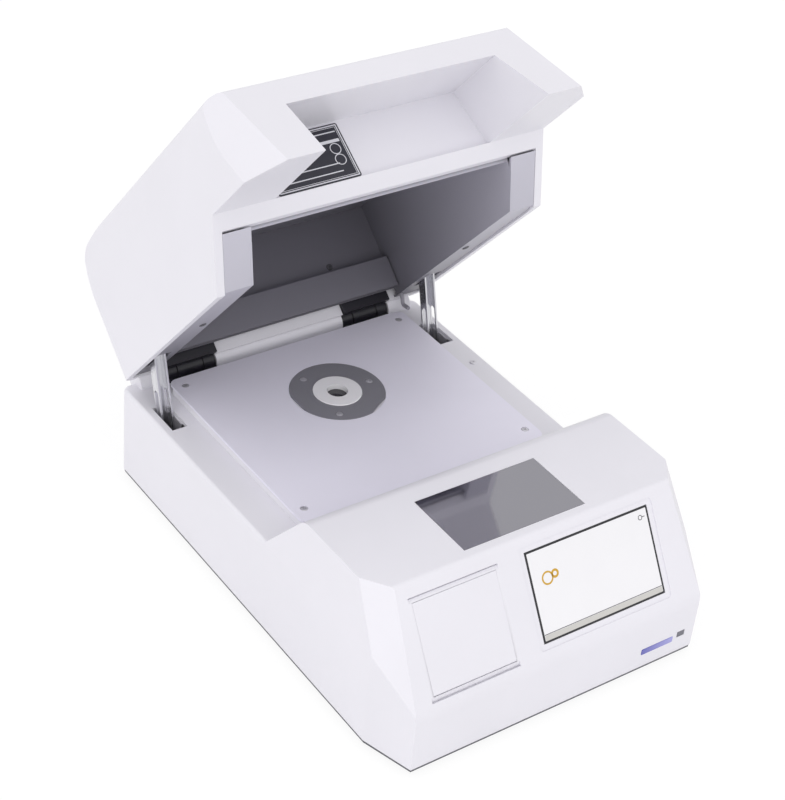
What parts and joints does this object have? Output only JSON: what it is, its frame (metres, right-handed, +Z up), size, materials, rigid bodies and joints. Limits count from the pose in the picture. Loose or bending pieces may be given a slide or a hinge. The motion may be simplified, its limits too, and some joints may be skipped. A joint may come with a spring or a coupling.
{
  "type": "x-ray fluorescence analyzer",
  "caption": "Benchtop x-ray fluorescence analyzer: a deep hinged lid on slotted stays over a flat sample table with a round window, and a slanted touch-screen console.",
  "frame": {"origin": "on the bench, under the middle of the instrument's box with its lid open", "axes": "+X to the right as the user sees it, +Y from the front panel to the hinge, +Z up"},
  "size_m": [0.283, 0.4629, 0.3813],
  "materials": {
    "white_shell": "satin, faintly lilac white",
    "dark_pan": "satin dark coat",
    "rubber": "matte",
    "steel": "plain",
    "stay_steel": "bright",
    "grey_rod": "grey, satin",
    "satin_plate": "satin, grey lilac",
    "dark_disc": "turned, dark grey",
    "white_ring": "glossy",
    "film": "thin film",
    "mirror": "polished",
    "display": "lit touch screen",
    "black_plastic": "fine grain",
    "hinge_black": "fine grain",
    "dark_plastic": "fine grain",
    "dark_metal": "satin",
    "paper": "thermal paper",
    "violet_lens": "tinted",
    "liner_grey": "satin grey coat",
    "label_black": "dark plate",
    "aluminium": "machined",
    "brass": "turned",
    "board_green": "solder mask"
  },
  "bodies": {
    "base": {"base_casing": "white_shell", "board_standoffs": "brass", "bottom_pan": "dark_pan", "deck_screw": "steel", "detector": "aluminium", "disc_screws": "steel", "display_bezel": "black_plastic", "display_glass": "display", "display_module": "dark_metal", "door_pins": "steel", "fan_frame": "black_plastic", "head_block": "aluminium", "high_voltage_supply": "dark_metal", "hinge_base_leaf_left": "hinge_black", "hinge_base_leaf_right": "hinge_black", "hinge_pins": "steel", "indicator_window": "black_plastic", "interlock_switch": "black_plastic", "main_board": "board_green", "mirror_plate": "mirror", "pan_screws": "steel", "plate_screws": "steel", "port_panel": "dark_plastic", "power_converter": "aluminium", "power_inlet": "black_plastic", "print_head": "dark_metal", "printer_bay": "dark_plastic", "rubber_feet": "rubber", "sample_plate": "satin_plate", "status_lens": "violet_lens", "stay_guide_left": "steel", "stay_guide_pins": "steel", "stay_guide_right": "steel", "switch_frame": "black_plastic", "tube_shield": "dark_metal", "window_disc": "dark_disc", "window_film": "film", "window_ring": "white_ring", "xray_tube": "brass"},
    "lid": {"lid_shell": "white_shell", "lid_liner": "liner_grey", "liner_rear_panel": "liner_grey", "liner_screws": "steel", "rating_plate": "label_black", "hinge_lid_leaf_left": "hinge_black", "hinge_lid_leaf_right": "hinge_black", "stay_pivot_pins": "steel", "interlock_rod": "grey_rod"},
    "stay_left": {"lid_stay_left": "stay_steel"},
    "stay_right": {"lid_stay_right": "stay_steel"},
    "printer_door": {"printer_door": "white_shell"},
    "paper_roll": {"paper_roll": "paper"},
    "platen": {"platen_roller": "rubber"},
    "fan_rotor": {"fan_rotor": "black_plastic"},
    "power_rocker": {"power_rocker": "black_plastic"}
  },
  "joints": [
    {"name": "lid_hinge", "type": "hinge", "parent": "base", "child": "lid", "pos_m": [0, 0.1566, 0.086], "axis": [1, 0, 0], "range_deg": [0, 49.3]},
    {"name": "stay_left_pivot", "type": "hinge", "parent": "lid", "child": "stay_left", "pos_m": [-0.1258, 0.1272, 0.13168], "axis": [1, 0, 0], "range_deg": [-27.1, 0]},
    {"name": "stay_right_pivot", "type": "hinge", "parent": "lid", "child": "stay_right", "pos_m": [0.1258, 0.1272, 0.13168], "axis": [1, 0, 0], "range_deg": [-27.1, 0]},
    {"name": "printer_door_hinge", "type": "hinge", "parent": "base", "child": "printer_door", "pos_m": [-0.075, -0.22397, 0.06308], "axis": [1, 0, 0], "range_deg": [0, 90]},
    {"name": "paper_roll_spin", "type": "hinge", "parent": "base", "child": "paper_roll", "pos_m": [-0.075, -0.18059, 0.08447], "axis": [1, 0, 0], "continuous": true},
    {"name": "platen_spin", "type": "hinge", "parent": "base", "child": "platen", "pos_m": [-0.075, -0.2111, 0.06578], "axis": [1, 0, 0], "continuous": true},
    {"name": "fan_spin", "type": "hinge", "parent": "base", "child": "fan_rotor", "pos_m": [-0.052, 0.147, 0.04], "axis": [0, 1, 0], "continuous": true},
    {"name": "power_switch_rock", "type": "hinge", "parent": "base", "child": "power_rocker", "pos_m": [0.05, 0.1546, 0.038], "axis": [1, 0, 0], "range_deg": [0, 16]}
  ],
  "couplings": [
    {"joint": "stay_left_pivot", "follows": "lid_hinge", "ratio": -0.548},
    {"joint": "stay_right_pivot", "follows": "lid_hinge", "ratio": -0.548},
    {"joint": "platen_spin", "follows": "paper_roll_spin", "ratio": 3.8}
  ]
}
